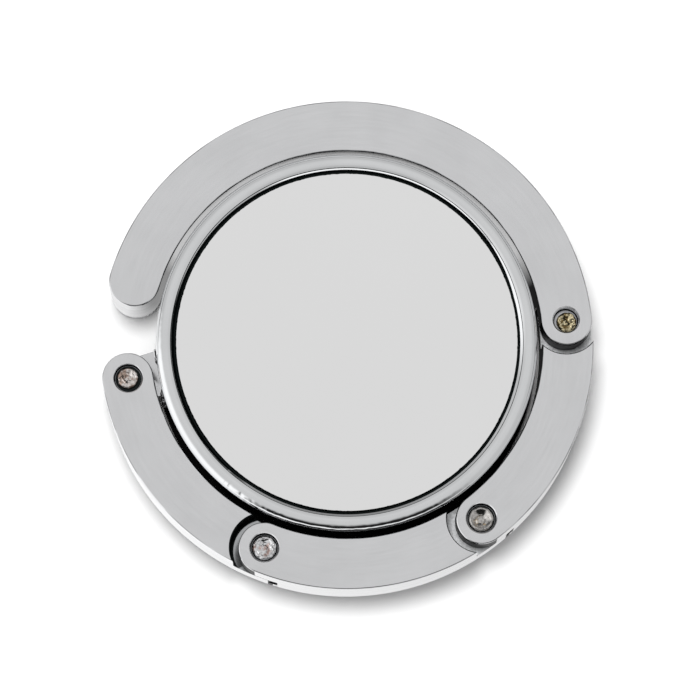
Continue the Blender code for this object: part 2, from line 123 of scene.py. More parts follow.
def spinLine(piece, turn, steps, center, axis=over):
    bpy.ops.mesh.select_all(action="SELECT")
    bpy.ops.mesh.spin(steps=steps, angle=-turn, center=center, axis=axis)
    bpy.ops.mesh.select_all(action="SELECT")
    bpy.ops.mesh.remove_doubles(threshold=weld)
    bpy.ops.mesh.normals_make_consistent(inside=False)
    bpy.ops.object.mode_set(mode="OBJECT")
    return piece


def turnedPiece(name, line, center=origin, outward=Vector((1, 0, 0)), axis=over, steps=96, closed=False):
    # a line of (out, up) points turned about an axis through the center
    points = [center + outward * spot.x + axis * spot.y for spot in line]
    piece = drawLine(name, points, closed)
    return spinLine(piece, math.tau, steps, center, axis)


def addBlock(place, size, turn):
    clearSelection()
    bpy.ops.mesh.primitive_cube_add(size=1, location=place, rotation=(0, 0, turn), scale=size)
    bpy.ops.object.transform_apply(location=True, rotation=True, scale=True)
    return bpy.context.object


def joinPieces(name, pieces):
    clearSelection()
    for piece in pieces:
        piece.select_set(True)
    bpy.context.view_layer.objects.active = pieces[0]
    bpy.ops.object.join()
    piece = bpy.context.object
    piece.name = name
    bpy.ops.object.mode_set(mode="EDIT")
    bpy.ops.mesh.select_all(action="SELECT")
    bpy.ops.mesh.remove_doubles(threshold=weld)
    bpy.ops.mesh.normals_make_consistent(inside=False)
    bpy.ops.object.mode_set(mode="OBJECT")
    return piece


def applyBoolean(piece, tool, operation):
    makeActive(piece)
    step = piece.modifiers.new("shape", "BOOLEAN")
    step.operation = operation
    step.object = tool
    bpy.ops.object.modifier_apply(modifier=step.name)
    bpy.data.objects.remove(tool)


def finishPiece(piece, body, nodes, materials, sharpAngle=34):
    makeActive(piece)
    piece.data.materials.clear()
    for material in materials:
        piece.data.materials.append(material)
    bpy.ops.object.shade_smooth_by_angle(angle=math.radians(sharpAngle))
    step = piece.modifiers.new("weights", "WEIGHTED_NORMAL")
    step.keep_sharp = True
    bpy.ops.object.modifier_apply(modifier=step.name)
    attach(piece, body)
    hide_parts(*nodes)


def darkenFaces(piece, isDark):
    # the piece's second material, a black painted shadow, goes on the faces that pass the test
    for face in piece.data.polygons:
        if isDark(face):
            face.material_index = 1


# materials

noiseSpan = (0.3, 0.7)  # nearly all of a noise's values lie between these


def newMaterial(name, sockets):
    # sockets gives the shader's values that are the same all over the surface
    material = bpy.data.materials.new(name)
    material.use_nodes = True
    tree = material.node_tree
    shader = tree.nodes["Principled BSDF"]
    for socket, value in sockets.items():
        shader.inputs[socket].default_value = value
    return material, tree, shader


def feed(tree, value, socket):
    # another node's output is linked to the socket, and a number or colour is set on it
    if isinstance(value, bpy.types.NodeSocket):
        tree.links.new(value, socket)
    else:
        socket.default_value = value


def objectPlace(tree):
    return tree.nodes.new("ShaderNodeTexCoord").outputs["Object"]


def splitNode(tree, vector):
    node = tree.nodes.new("ShaderNodeSeparateXYZ")
    tree.links.new(vector, node.inputs[0])
    return node.outputs


def mathNode(tree, operation, first, second=None):
    node = tree.nodes.new("ShaderNodeMath")
    node.operation = operation
    feed(tree, first, node.inputs[0])
    if second is not None:
        feed(tree, second, node.inputs[1])
    return node.outputs[0]


def product(tree, first, second):
    return mathNode(tree, "MULTIPLY", first, second)


def lengthNode(tree, vector):
    node = tree.nodes.new("ShaderNodeVectorMath")
    node.operation = "LENGTH"
    tree.links.new(vector, node.inputs[0])
    return node.outputs["Value"]


def noiseNode(tree, vector, scale, detail, softness=0.5):
    node = tree.nodes.new("ShaderNodeTexNoise")
    node.inputs["Scale"].default_value = scale
    node.inputs["Detail"].default_value = detail
    node.inputs["Roughness"].default_value = softness
    tree.links.new(vector, node.inputs["Vector"])
    return node.outputs["Fac"]


def rangeNode(tree, value, span, low, high):
    # low where the value is at the span's start, high at its end
    node = tree.nodes.new("ShaderNodeMapRange")
    for socket, number in zip(list(node.inputs)[1:5], (*span, low, high)):
        socket.default_value = number
    tree.links.new(value, node.inputs[0])
    return node.outputs[0]


def mixColor(tree, factor, first, second):
    # each colour is a tuple, a number for a grey, or another node's output
    mix = tree.nodes.new("ShaderNodeMix")
    mix.data_type = "RGBA"
    for socket, value in ((mix.inputs["A"], first), (mix.inputs["B"], second)):
        if isinstance(value, (int, float)):
            value = (value, value, value)
        feed(tree, (*value, 1) if isinstance(value, tuple) else value, socket)
    tree.links.new(factor, mix.inputs["Factor"])
    return mix.outputs["Result"]


def shadeColor(tree, color, value, shader):
    # multiplies a colour by a value that varies over the surface
    node = tree.nodes.new("ShaderNodeVectorMath")
    node.operation = "SCALE"
    feed(tree, color, node.inputs[0])
    tree.links.new(value, node.inputs["Scale"])
    tree.links.new(node.outputs[0], shader.inputs["Base Color"])


def bumpNode(tree, height, strength, distance, shader):
    node = tree.nodes.new("ShaderNodeBump")
    node.inputs["Strength"].default_value = strength
    node.inputs["Distance"].default_value = distance
    tree.links.new(height, node.inputs["Height"])
    tree.links.new(node.outputs[0], shader.inputs["Normal"])


def aroundTheRing(tree, place, shares):
    # object coordinates turned into (way round the ring, radius, height), each times its share
    x, y, z = splitNode(tree, place)
    radius = mathNode(tree, "SQRT", mathNode(tree, "ADD", product(tree, x, x), product(tree, y, y)))
    turn = mathNode(tree, "ARCTAN2", y, x)
    joined = tree.nodes.new("ShaderNodeCombineXYZ")
    for socket, value, share in zip(joined.inputs, (turn, radius, z), shares):
        tree.links.new(product(tree, value, share), socket)
    return joined.outputs[0]


platingLook = {  # noises are (scale, detail)
    "color": (0.775, 0.778, 0.79),
    "roughness": 0.13,
    "roughShares": (0.8, 1.3),
    "cloud": (260.0, 4.0),
    "cloudDepth": 0.03,
    "wave": (130.0, 1.0),
    "streak": (420.0, 2.0),
    "streakShares": (0.016, 9.0, 9.0),
    "streakSpan": (0.25, 0.75),
    "streakDepth": 0.02,
    "streakHeight": 0.05,
    "longStreak": (420.0, 3.0),
    "wallShares": (0.003, 0.0, 3.2),
    "wallSpan": (0.2, 0.5),
    "wallDepth": 0.07,
    "edgeShares": (0.012, 0.0, 0.0),
    "edgeSpan": (0.44, 0.56),
    "edgeShadeDepth": 0.7,
    "edgeStart": (0.7, 0.8),
    "edgeEnd": (0.93, 0.98),
    "bump": (0.05, 0.02 * mm),
}
# painted shade: a darker plating, put on the links' step floors and the counterbores' walls
recessShadeLook = {**platingLook, "color": (0.5, 0.51, 0.52), "roughness": 0.14}
discLook = {**platingLook, "roughness": 0.16}
bezelLook = {**platingLook, "color": (0.8, 0.81, 0.82), "roughness": 0.05}


def brushedShade(tree, look, place, streak, shade):
    # fine streaks all over, long ones on the walls, and a painted dark reflection line, broken, along the
    # rounded edges
    depth = look["streakDepth"]
    shade = product(tree, shade, rangeNode(tree, streak, look["streakSpan"], 1 - depth, 1 + depth))
    upward = splitNode(tree, tree.nodes.new("ShaderNodeNewGeometry").outputs["Normal"])[2]
    steep = rangeNode(tree, mathNode(tree, "ABSOLUTE", upward), look["wallSpan"], look["wallDepth"], 0.0)
    wall = noiseNode(tree, aroundTheRing(tree, place, look["wallShares"]), *look["longStreak"])
    wall = product(tree, rangeNode(tree, wall, noiseSpan, -1.0, 1.0), steep)
    shade = product(tree, shade, mathNode(tree, "ADD", wall, 1.0))
    # painted reflection: the band of the rounded edges is darkened into a broken dark line
    broken = noiseNode(tree, aroundTheRing(tree, place, look["edgeShares"]), *look["longStreak"])
    broken = rangeNode(tree, broken, look["edgeSpan"], 0.0, look["edgeShadeDepth"])
    first = rangeNode(tree, upward, look["edgeStart"], 0.0, 1.0)
    second = rangeNode(tree, upward, look["edgeEnd"], 1.0, 0.0)
    line = product(tree, product(tree, first, second), broken)
    return product(tree, shade, mathNode(tree, "SUBTRACT", 1.0, line))


def platingMaterial(name, look, brushed=False):
    material, tree, shader = newMaterial(name, {"Metallic": 1.0})
    place = objectPlace(tree)
    cloud = noiseNode(tree, place, *look["cloud"])
    shade = rangeNode(tree, cloud, noiseSpan, 1 - look["cloudDepth"], 1 + look["cloudDepth"])
    height = noiseNode(tree, place, *look["wave"])
    if brushed:
        streak = noiseNode(tree, aroundTheRing(tree, place, look["streakShares"]), *look["streak"])
        shade = brushedShade(tree, look, place, streak, shade)
        height = mathNode(tree, "ADD", height, product(tree, streak, look["streakHeight"]))
    shadeColor(tree, look["color"], shade, shader)
    low, high = [look["roughness"] * share for share in look["roughShares"]]
    tree.links.new(rangeNode(tree, cloud, noiseSpan, low, high), shader.inputs["Roughness"])
    bumpNode(tree, height, *look["bump"], shader)
    return material


grimeLook = {  # lacquer, grime or rough casting, with a fine grain; grains are (scale, detail, softness)
    "grain": (4200.0, 3.0, 0.5),
    "shades": (0.8, 1.2),
    "bump": (0.1, 0.01 * mm),
}
castLook = {
    **grimeLook,
    "sockets": {"Specular IOR Level": 0.3},
    "color": (0.7, 0.71, 0.72),
    "roughness": (0.3825, 0.5175),
}
# painted shadow: a flat black for the gaps round the disc, the bezel's seam and the glass's edge
gapShadowLook = {
    **grimeLook,
    "sockets": {"Specular IOR Level": 0.0},
    "color": (0.006, 0.008, 0.008),
    "roughness": (0.51, 0.69),
}
# painted shadow: a near-black, put where the links' recesses and the washers' tops lie in shade
recessShadowLook = {
    **grimeLook,
    "sockets": {"Specular IOR Level": 0.03},
    "color": (0.01, 0.012, 0.012),
    "roughness": (0.2975, 0.4025),
}
steelLook = {
    "sockets": {"Metallic": 1.0},
    "grain": (1800.0, 3.0, 0.5),
    "color": (0.6, 0.6, 0.61),
    "shades": (0.92, 1.06),
    "roughness": (0.28, 0.42),
    "bump": (0.15, 0.01 * mm),
}
washerLook = {**steelLook, "color": (0.62, 0.62, 0.64), "roughness": (0.24, 0.36)}
tapeLook = {
    "sockets": {},
    "grain": (2400.0, 3.0, 0.5),
    "color": (0.84, 0.83, 0.79),
    "shades": (0.94, 1.04),
    "roughness": (0.6, 0.75),
    "bump": (0.3, 0.02 * mm),
}
rubberLook = {
    "sockets": {},
    "grain": (3000.0, 4.0, 0.6),
    "dust": (320.0, 4.0, 0.6),
    "dustSpan": (0.3, 0.75),
    "color": (0.035, 0.035, 0.036),
    "shades": (0.8, 1.5),
    "roughness": (0.7, 0.88),
    "bump": (0.5, 0.04 * mm),
}
mirrorLook = {
    "sockets": {"Metallic": 1.0, "Coat Weight": 0.3, "Coat Roughness": 0.01},
    "grain": (90.0, 2.0, 0.5),
    "color": (0.97, 0.97, 0.97),
    "shades": (0.997, 1.003),
    "roughness": (0.012, 0.02),
}


def grainMaterial(name, look):
    # one grain varies the colour, the gloss and the height, and dust takes over the colour
    material, tree, shader = newMaterial(name, look["sockets"])
    place = objectPlace(tree)
    grain = noiseNode(tree, place, *look["grain"])
    if "dust" in look:
        dust = noiseNode(tree, place, *look["dust"])
        shade = rangeNode(tree, dust, look["dustSpan"], *look["shades"])
    else:
        shade = rangeNode(tree, grain, noiseSpan, *look["shades"])
    shadeColor(tree, look["color"], shade, shader)
    tree.links.new(rangeNode(tree, grain, noiseSpan, *look["roughness"]), shader.inputs["Roughness"])
    if "bump" in look:
        bumpNode(tree, grain, *look["bump"], shader)
    return material


rivetLook = {
    "patch": (1500.0, 3.0, 0.6),
    "patchSoft": 0.06,
    "fine": (5200.0, 2.0),
    "fineShades": (0.7, 1.2),
    "bend": (900.0, 2.0),
    "crackSoft": 0.3,
    "crackShade": 0.06,
    "roughness": (0.091, 0.169),
    "bump": (0.35, 0.02 * mm),
}


def rivetMaterial(name, plating, core, coreShare, crack):
    # worn plating over a warmer core, with thin dark cracks
    material, tree, shader = newMaterial(name, {"Metallic": 1.0})
    place = objectPlace(tree)
    patch = noiseNode(tree, place, *rivetLook["patch"])
    fine = noiseNode(tree, place, *rivetLook["fine"])
    patchSpan = (coreShare - rivetLook["patchSoft"], coreShare + rivetLook["patchSoft"])
    color = mixColor(tree, rangeNode(tree, patch, patchSpan, 1.0, 0.0), plating, core)
    bend = mathNode(tree, "SUBTRACT", noiseNode(tree, place, *rivetLook["bend"]), 0.5)
    crackSpan = (crack * rivetLook["crackSoft"], crack)
    cracks = rangeNode(tree, mathNode(tree, "ABSOLUTE", bend), crackSpan, rivetLook["crackShade"], 1.0)
    grain = rangeNode(tree, fine, noiseSpan, *rivetLook["fineShades"])
    shadeColor(tree, color, product(tree, grain, cracks), shader)
    tree.links.new(rangeNode(tree, fine, noiseSpan, *rivetLook["roughness"]), shader.inputs["Roughness"])
    bumpNode(tree, mathNode(tree, "ADD", patch, fine), *rivetLook["bump"], shader)
    return material


linkPlating = platingMaterial("linkPlating", platingLook, brushed=True)
castFloor = grainMaterial("castFloor", castLook)
recessShadePlating = platingMaterial("recessShadePlating", recessShadeLook)
discPlating = platingMaterial("discPlating", discLook)
bezelPlating = platingMaterial("bezelPlating", bezelLook)
gapShadowBlack = grainMaterial("gapShadowBlack", gapShadowLook)
recessShadowBlack = grainMaterial("recessShadowBlack", recessShadowLook)
silvered = grainMaterial("silveredGlass", mirrorLook)
padRubber = grainMaterial("padRubber", rubberLook)
plateSteel = grainMaterial("plateSteel", steelLook)
washerSteel = grainMaterial("washerSteel", washerLook)
foamTape = grainMaterial("foamTape", tapeLook)
print("materials made")


# ring of links

ring = {
    "outerRadius": 22.4 * mm,
    "width": 4.65 * mm,
    "edge": 0.15 * mm,
    "layerGap": 0.2 * mm,  # between a tongue and the tab over it
    "stepRadius": 3.125 * mm,
    "rim": 0.08 * mm,
    "tongueEnd": 2.61 * mm,
    "tongueToe": 3.04 * mm,
    "tongueNotch": 2.4 * mm,
    "notchFall": 0.2 * mm,
    "notchRound": 0.1 * mm,
    "tongueStart": 4,  # degrees before the pivot at which the tongue's wide end starts
    "tongueSweep": 12,
    "tongueInset": 0.004 * mm,  # keeps the wide end just inside the link's faces, for a clean join
    "shankBore": 0.75 * mm,
    "footBore": 1.25 * mm,
    "footDepth": 0.55 * mm,
    "boreFoot": 0.1 * mm,
    "slotFoot": 0.08 * mm,
    "turnStep": 1.25,  # degrees from one section of a link to the next
}
ring["bottom"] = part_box("hook_arm")[0].z
ring["top"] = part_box("hook_arm")[1].z
ring["middle"] = (ring["bottom"] + ring["top"]) / 2
ring["half"] = ring["width"] / 2
ring["pathRadius"] = ring["outerRadius"] - ring["half"]
ring["tabBottom"] = ring["middle"] + ring["layerGap"] / 2
ring["tongueTop"] = ring["middle"] - ring["layerGap"] / 2

pivots = [Vector(joint["pos_m"]) for joint in frame["joints"] if joint["name"].endswith("fold")]
pivotAngles = [math.atan2(spot.y, spot.x) % math.tau for spot in pivots]
tipAngle = math.radians(163.3)
linkNames = ["near_link", "middle_link", "far_link", "hook_arm"]

counterbores = [  # one for each pivot, from the knuckle on, with the rounding at the foot of its step
    {"radius": 1.3 * mm, "depth": 0.95 * mm, "rim": 0.05 * mm, "fillet": 0.1 * mm},
    {"radius": 1.3 * mm, "depth": 0.95 * mm, "rim": 0.08 * mm, "fillet": 0.3 * mm},
    {"radius": 1.35 * mm, "depth": 0.95 * mm, "rim": 0.08 * mm, "fillet": 0.12 * mm},
    {"radius": 1.13 * mm, "depth": 1.35 * mm, "rim": 0.12 * mm, "fillet": 0.12 * mm},
]


def drawSection(name, section, angle):
    points = [polar(ring["pathRadius"] + spot.x, angle, spot.y) for spot in section]
    return drawLine(name, points, closed=True)


def linkSection(inset=0.0):
    # the outer half as an open line, and the whole as a closed one
    half, edge, top, bottom = ring["half"] - inset, ring["edge"], ring["top"] - inset, ring["bottom"] + inset
    outerSide = [(0, top, 0), (half, top, edge), (half, bottom, edge), (0, bottom, 0)]
    innerSide = [(-half, bottom, edge), (-half, top, edge)]
    return roundedLine(outerSide), roundedLine(outerSide + innerSide, closed=True)


def linkBody(name, startAngle, endAngle, tongue):
    halfSection, section = linkSection()
    span = (endAngle - startAngle) % math.tau
    steps = round(math.degrees(span) / ring["turnStep"])
    pieces = [spinLine(drawSection(name, section, startAngle), span, steps, origin)]
    for angle, turn in ((startAngle, -math.pi), (endAngle, math.pi)):
        center = polar(ring["pathRadius"], angle)
        cap = drawLine("cap", [center + polar(spot.x, angle, spot.y) for spot in halfSection])
        pieces.append(spinLine(cap, turn, 36, center))
    link = joinPieces(name, pieces)
    if tongue:
        applyBoolean(link, tongueEnd(endAngle), "UNION")
    return link


def tongueEnd(endAngle):
    # the tongue ends on a wide arc that just clears the step of the next link, and is cut to height later
    section = linkSection(ring["tongueInset"])[1]
    block = drawSection("tongueEnd", section, endAngle - math.radians(ring["tongueStart"]))
    bpy.ops.mesh.edge_face_add()
    spinLine(block, math.radians(ring["tongueSweep"]), 10, origin)
    line = roundedLine([
        (0, ring["tongueTop"] + overrun, 0),
        (ring["tongueEnd"], ring["tongueTop"] + overrun, 0),
        (ring["tongueEnd"], ring["tongueNotch"], ring["notchRound"]),
        (ring["tongueToe"], ring["tongueNotch"] - ring["notchFall"], ring["notchRound"]),
        (ring["tongueToe"], ring["bottom"], ring["edge"]),
        (0, ring["bottom"], 0),
    ])
    applyBoolean(block, turnedPiece("round", line, polar(ring["pathRadius"], endAngle)), "INTERSECT")
    return block


def tabCutter(center, bore):
    # frees the tab: room for the tongue below it, the rivet's bore and the counterbore with its broken rim
    rim, floor, sky = bore["rim"], ring["top"] - bore["depth"], ring["top"] + overrun
    line = roundedLine([
        (0, sky, 0),
        (bore["radius"] + rim + overrun, sky, 0),
        (bore["radius"] + rim, ring["top"], 0),
        (bore["radius"], ring["top"] - rim, 0),
        (bore["radius"], floor, ring["boreFoot"]),
        (ring["shankBore"], floor, 0),
        (ring["shankBore"], ring["tabBottom"], 0),
        (ring["stepRadius"], ring["tabBottom"], ring["slotFoot"]),
        (ring["stepRadius"], ring["bottom"] - overrun, 0),
        (0, ring["bottom"] - overrun, 0),
    ], 3)
    return turnedPiece("tabCutter", line, upright(center, 0))


def tongueCutter(center, fillet):
    # frees the tongue: room for the tab above it, the rivet's bore and the seat of its foot
    rim, seat, sky = ring["rim"], ring["bottom"] + ring["footDepth"], ring["top"] + overrun
    line = roundedLine([
        (0, sky, 0),
        (ring["stepRadius"] + rim + overrun, sky, 0),
        (ring["stepRadius"] + rim, ring["top"], 0),
        (ring["stepRadius"], ring["top"] - rim, 0),
        (ring["stepRadius"], ring["tongueTop"], fillet),
        (ring["shankBore"], ring["tongueTop"], 0),
        (ring["shankBore"], seat, 0),
        (ring["footBore"], seat, 0),
        (ring["footBore"], ring["bottom"] - overrun, 0),
        (0, ring["bottom"] - overrun, 0),
    ], 6)
    return turnedPiece("tongueCutter", line, upright(center, 0), steps=120)


# painted shade: the second material is a darker plating, and the third a near-black painted shadow
plated, shadePlated, shadowBlack, rough = range(4)  # a link's materials, in their order
recess = {  # how near to an edge or a wall a face is marked, and how steep it is
    "near": 0.02 * mm,
    "rimBand": 0.1 * mm,
    "footBand": 0.03 * mm,
    "toeBand": 0.22 * mm,
    "tabBand": 0.1 * mm,
    "tabEndBand": 0.08 * mm,
    "boreNear": 0.01 * mm,
    "boreTop": 0.16 * mm,
    "smoothFillet": 0.2 * mm,
    "facing": 0.5,
    "flat": 0.98,
    "level": 0.7,
    "steep": 0.3,
    "broken": 0.95,
}


def seenFromPivot(face, pivot):
    # how far off the face lies, whether it looks at the pivot, and whether it lies past it round the ring
    spot = Vector((face.center.x, face.center.y))
    away = (spot - pivot.xy).length
    inward = face.normal.xy.dot(pivot.xy - spot) > recess["facing"] * away * face.normal.xy.length
    past = math.sin(math.atan2(spot.y, spot.x) - math.atan2(pivot.y, pivot.x)) > 0
    return away, inward, past


def markStep(face, pivot, fillet):
    # painted shade and shadow where the next link's tab lies: on the step's floor, wall and rim, and in the
    # notch in the tongue's end
    away, inward, past = seenFromPivot(face, pivot)
    height, level, near, step = face.center.z, abs(face.normal.z), recess["near"], ring["stepRadius"]
    atRim = height > ring["top"] - recess["rimBand"] and recess["steep"] < level < recess["broken"]
    upper = ring["tongueTop"] - near < height < ring["top"] - recess["rimBand"]
    if level > recess["flat"] and upper and height < ring["tabBottom"] and away < step:
        face.material_index = shadePlated if fillet > recess["smoothFillet"] else rough
    elif upper and inward and step - fillet - recess["footBand"] < away < step + near:
        face.material_index = shadowBlack
    elif atRim and inward and abs(away - step) < ring["rim"]:
        face.material_index = shadowBlack
    elif not upper and past and not inward and height > ring["tongueNotch"] - recess["toeBand"]:
        face.material_index = shadowBlack if ring["tongueEnd"] - near < away < step else plated


def markTab(face, pivot, bore):
    # painted shade and shadow on the tab's underside, the wall under it, its own rounded end, and the
    # counterbore
    away, inward, past = seenFromPivot(face, pivot)
    height, level, step = face.center.z, abs(face.normal.z), ring["stepRadius"]
    if height < ring["tabBottom"] + recess["tabBand"] and away < step + recess["near"]:
        underside = level > recess["level"] and height > ring["tongueTop"]
        if underside or inward and away > step - recess["tabBand"]:
            face.material_index = shadowBlack
    if not past and abs(away - ring["half"]) < recess["tabEndBand"] and level < recess["steep"]:
        face.material_index = shadowBlack
    if away < bore["radius"] + recess["boreNear"] and height < ring["top"] - recess["boreTop"]:
        face.material_index = shadowBlack if level > recess["level"] and height > ring["middle"] else shadePlated


def makeLinks():
    for index, name in enumerate(linkNames):
        tongue = index + 1 < len(linkNames)
        endAngle = pivotAngles[index + 1] if tongue else tipAngle
        link = linkBody(name + "_look", pivotAngles[index], endAngle, tongue)
        applyBoolean(link, tabCutter(pivots[index], counterbores[index]), "DIFFERENCE")
        if tongue:
            fillet = counterbores[index + 1]["fillet"]
            applyBoolean(link, tongueCutter(pivots[index + 1], fillet), "DIFFERENCE")
        finishPiece(link, name, [name], [linkPlating, recessShadePlating, recessShadowBlack, castFloor])
        for face in link.data.polygons:
            if tongue:
                markStep(face, pivots[index + 1], fillet)
            markTab(face, pivots[index], counterbores[index])


makeLinks()
print("links made")


# disc: drum, bezel, mirror and pad

disc = {
    "drumRadius": 16.6 * mm,
    "drumWall": 1.8 * mm,
    "drumBottom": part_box("disc_body")[0].z,
    "collarOuter": 16.15 * mm,
    "collarInner": 15.5 * mm,
    "collarTop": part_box("disc_body")[1].z,
    "floor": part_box("mirror_adhesive")[0].z - 0.05 * mm,
    "roof": 0.8 * mm,
    "ledge": 1.85 * mm,
    "rebate": 15.7 * mm,
    "post": 2.5 * mm,
    "shoulder": 7.3 * mm,
    "edge": 0.3 * mm,
    "corner": 0.08 * mm,
    "fillet": 0.1 * mm,
    "floorFillet": 0.05 * mm,
    "coreFillet": 0.4 * mm,
    "bossWidth": 5.0 * mm,
    "bossFace": 12.8 * mm,
    "studBore": 1.0 * mm,
    "borePast": 1.0 * mm,
    "gapShadowBelow": (0.05 * mm, 0.2 * mm, 0.1 * mm),  # inside the wall, under the shoulder, under the floor
}
swivelAngle = pivotAngles[0]
swivelOut = polar(1, swivelAngle)


def isGapShadow(face):
    # painted shadow: black on the drum's side wall, and on what faces the bezel and the mirror, where the
    # gaps lie in shade
    inWall, underShoulder, underFloor = disc["gapShadowBelow"]
    out, height = math.hypot(face.center.x, face.center.y), face.center.z
    side = out > disc["drumRadius"] - inWall and abs(face.normal.z) < 0.5
    seat = out < disc["collarInner"] and height > disc["floor"] - underFloor
    return side or seat or height > disc["shoulder"] - underShoulder


def makeDrum():
    wall, ceiling = disc["drumRadius"] - disc["drumWall"], disc["floor"] - disc["roof"]
    line = roundedLine([
        (0, disc["floor"], 0),
        (disc["collarInner"], disc["floor"], disc["floorFillet"]),
        (disc["collarInner"], disc["collarTop"], disc["corner"]),
        (disc["collarOuter"], disc["collarTop"], disc["corner"]),
        (disc["collarOuter"], disc["shoulder"], 0),
        (disc["drumRadius"], disc["shoulder"], disc["fillet"]),
        (disc["drumRadius"], disc["drumBottom"], disc["edge"]),
        (disc["rebate"], disc["drumBottom"], disc["corner"]),
        (disc["rebate"], disc["ledge"], 0),
        (wall, disc["ledge"], disc["fillet"]),
        (wall, ceiling, disc["coreFillet"]),
        (disc["post"], ceiling, disc["coreFillet"]),
        (disc["post"], disc["ledge"], disc["fillet"]),
        (0, disc["ledge"], 0),
    ])
    drum = turnedPiece("disc_body_look", line, steps=192)
    top, bottom = disc["floor"] - disc["roof"] / 2, disc["ledge"]
    outer, inner = disc["drumRadius"] - disc["drumWall"] / 2, disc["bossFace"]
    place = polar((outer + inner) / 2, swivelAngle, (top + bottom) / 2)
    boss = addBlock(place, (outer - inner, disc["bossWidth"], top - bottom), swivelAngle)
    applyBoolean(drum, boss, "UNION")
    start, end = inner - disc["borePast"], disc["drumRadius"] + disc["borePast"]
    radius = disc["studBore"]
    line = [Vector((0, start)), Vector((radius, start)), Vector((radius, end)), Vector((0, end))]
    bore = turnedPiece("bore", line, Vector((0, 0, ring["middle"])), over, swivelOut, 48)
    applyBoolean(drum, bore, "DIFFERENCE")
    finishPiece(drum, "disc", ["disc_body"], [discPlating, gapShadowBlack])
    darkenFaces(drum, isGapShadow)


bezel = {
    "lipRadius": 15.66 * mm,
    "facetOut": 15.92 * mm,
    "facetTop": 8.4 * mm,
    "facetBottom": 8.1 * mm,
    "seam": 0.05 * mm,
    "seamRound": 0.02 * mm,
    "crownStart": 8.5 * mm,
    "apexRadius": 16.3 * mm,
    "apexTop": 8.6 * mm,
    "apexRound": 0.9 * mm,
    "radius": 17.25 * mm,
    "shoulderTop": 8.54 * mm,
    "roll": 0.68 * mm,
    "bottom": 7.4 * mm,
    "tuck": 0.12 * mm,
    "tuckHeight": 0.35 * mm,
    "tuckRound": 0.1 * mm,
    "footRound": 0.04 * mm,
    "bore": 16.25 * mm,
    "ledge": 8.05 * mm,
    "near": 0.02 * mm,
    "flatter": {"middle": 305, "half": 80, "soft": 20, "rise": 0.095 * mm},  # where the lip is rolled flatter
    "rougher": {"middle": 262, "half": 42, "elsewhere": 0.25},  # where the stamping is rough
    "rippleFrom": 16.56 * mm,
    "rippleBottom": 7.8 * mm,
    "ripple": 0.016 * mm,
    "rippleWave": 0.35 * mm,
    "nickBottom": 8.11 * mm,
    "nicks": [  # (direction, half width, depth)
        (229.4, 0.2, 0.02 * mm),
        (231.2, 0.3, 0.022 * mm),
        (232.3, 0.15, 0.03 * mm),
        (235.6, 0.4, 0.02 * mm),
    ],
}


def workBezel(piece):
    # the lip is pressed flatter on one stretch, and the outer edge is rippled and nicked
    flatter, rougher = bezel["flatter"], bezel["rougher"]
    for vertex in piece.data.vertices:
        spot = vertex.co
        out, turn = math.hypot(spot.x, spot.y), math.degrees(math.atan2(spot.y, spot.x)) % 360
        if out < bezel["lipRadius"] + bezel["near"] and spot.z > bezel["ledge"] + bezel["near"]:
            away = abs((turn - flatter["middle"] + 180) % 360 - 180)
            share = (flatter["half"] + flatter["soft"] / 2 - away) / flatter["soft"]
            spot.z += flatter["rise"] * min(1.0, max(0.0, share))
        if out < bezel["rippleFrom"] or spot.z < bezel["rippleBottom"]:
            continue
        rise = max(0.0, 1 - (abs(turn - rougher["middle"]) / rougher["half"]) ** 2)
        share = rougher["elsewhere"] + (1 - rougher["elsewhere"]) * rise
        dent = noise.noise(spot / bezel["rippleWave"]) * bezel["ripple"] * share
        if spot.z > bezel["nickBottom"]:
            for middle, wide, deep in bezel["nicks"]:
                dent -= deep * math.exp(-(((turn - middle) / wide) ** 2))
        spot.x += spot.x / out * dent
        spot.y += spot.y / out * dent
        spot.z += dent


# painted shade: the narrow seam between the lip's facet and the crown takes the black
def isSeam(face):
    out = math.hypot(face.center.x, face.center.y)
    inSeam = bezel["facetOut"] < out < bezel["facetOut"] + bezel["seam"]
    return inSeam and face.center.z < bezel["facetTop"]


def makeBezel():
    line = roundedLine([
        (bezel["bore"], bezel["ledge"], 0),
        (bezel["lipRadius"], bezel["ledge"], 0),
        (bezel["lipRadius"], bezel["facetBottom"], 0),
        (bezel["facetOut"], bezel["facetTop"], 0),
        (bezel["facetOut"] + bezel["seam"] / 2, bezel["facetTop"] - bezel["seam"], 0),
        (bezel["facetOut"] + bezel["seam"], bezel["crownStart"], bezel["seamRound"]),
        (bezel["apexRadius"], bezel["apexTop"], bezel["apexRound"]),
        (bezel["radius"], bezel["shoulderTop"], bezel["roll"]),
        (bezel["radius"], bezel["bottom"] + bezel["tuckHeight"], bezel["tuckRound"]),
        (bezel["radius"] - bezel["tuck"], bezel["bottom"], bezel["footRound"]),
        (bezel["bore"], bezel["bottom"], 0),
    ], 9, True)
    piece = turnedPiece("bezel_ring_look", line, steps=720, closed=True)
    workBezel(piece)
    finishPiece(piece, "disc", ["bezel_ring"], [bezelPlating, gapShadowBlack])
    darkenFaces(piece, isSeam)


glass = {
    "reach": 0.06 * mm,
    "edge": 0.04 * mm,
    "sharpAngle": 20,
    "chipBand": (0.5, 1.5),  # shares of the edge within which the chips lie
    "chipSize": 0.25 * mm,
    "chipDepth": 0.004,
    "chipFrom": 0.1,
}


